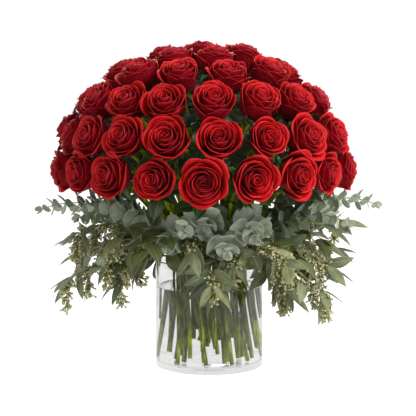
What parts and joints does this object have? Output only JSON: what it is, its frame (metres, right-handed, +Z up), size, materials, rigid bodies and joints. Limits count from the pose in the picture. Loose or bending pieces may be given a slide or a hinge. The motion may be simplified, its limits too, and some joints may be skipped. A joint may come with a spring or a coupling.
{
  "type": "roses in a vase",
  "caption": "Domed bunch of open red roses over silver-dollar and seeded eucalyptus and salal leaves, in a clear straight glass cylinder of water.",
  "frame": {"origin": "centre of the vase's flat foot", "axes": "+Z up out of the vase, front of the bunch faces -Y, +X to the right seen from the front"},
  "size_m": [0.499, 0.4337, 0.4631],
  "materials": {
    "vase_glass": "clear polished glass",
    "vase_water": "clear water",
    "roses": "soft red petals over a green stem",
    "dollar_leaves": "waxy grey-green round leaves",
    "seeded_leaves": "olive leaves with pale seed capsules",
    "salal_leaves": "dark green satin leaves"
  },
  "bodies": {
    "root": {"dollar_sprig_1": "dollar_leaves", "dollar_sprig_2": "dollar_leaves", "dollar_sprig_3": "dollar_leaves", "dollar_sprig_4": "dollar_leaves", "rose_01": "roses", "rose_02": "roses", "rose_03": "roses", "rose_04": "roses", "rose_05": "roses", "rose_06": "roses", "rose_07": "roses", "rose_08": "roses", "rose_09": "roses", "rose_10": "roses", "rose_11": "roses", "rose_12": "roses", "rose_13": "roses", "rose_14": "roses", "rose_15": "roses", "rose_16": "roses", "rose_17": "roses", "rose_18": "roses", "rose_19": "roses", "rose_20": "roses", "rose_21": "roses", "rose_22": "roses", "rose_23": "roses", "rose_24": "roses", "rose_25": "roses", "rose_26": "roses", "rose_27": "roses", "rose_28": "roses", "rose_29": "roses", "rose_30": "roses", "rose_31": "roses", "rose_32": "roses", "rose_33": "roses", "rose_34": "roses", "rose_35": "roses", "rose_36": "roses", "rose_37": "roses", "rose_group_1": "roses", "rose_group_2": "roses", "rose_group_3": "roses", "rose_group_4": "roses", "rose_group_5": "roses", "rose_group_6": "roses", "rose_group_7": "roses", "rose_group_8": "roses", "rose_group_9": "roses", "salal_sprig_1": "salal_leaves", "salal_sprig_2": "salal_leaves", "salal_sprig_3": "salal_leaves", "seeded_sprig_1": "seeded_leaves", "seeded_sprig_2": "seeded_leaves", "seeded_sprig_3": "seeded_leaves", "seeded_sprig_4": "seeded_leaves", "seeded_sprig_5": "seeded_leaves", "vase": "vase_glass", "water": "vase_water"}
  },
  "joints": []
}
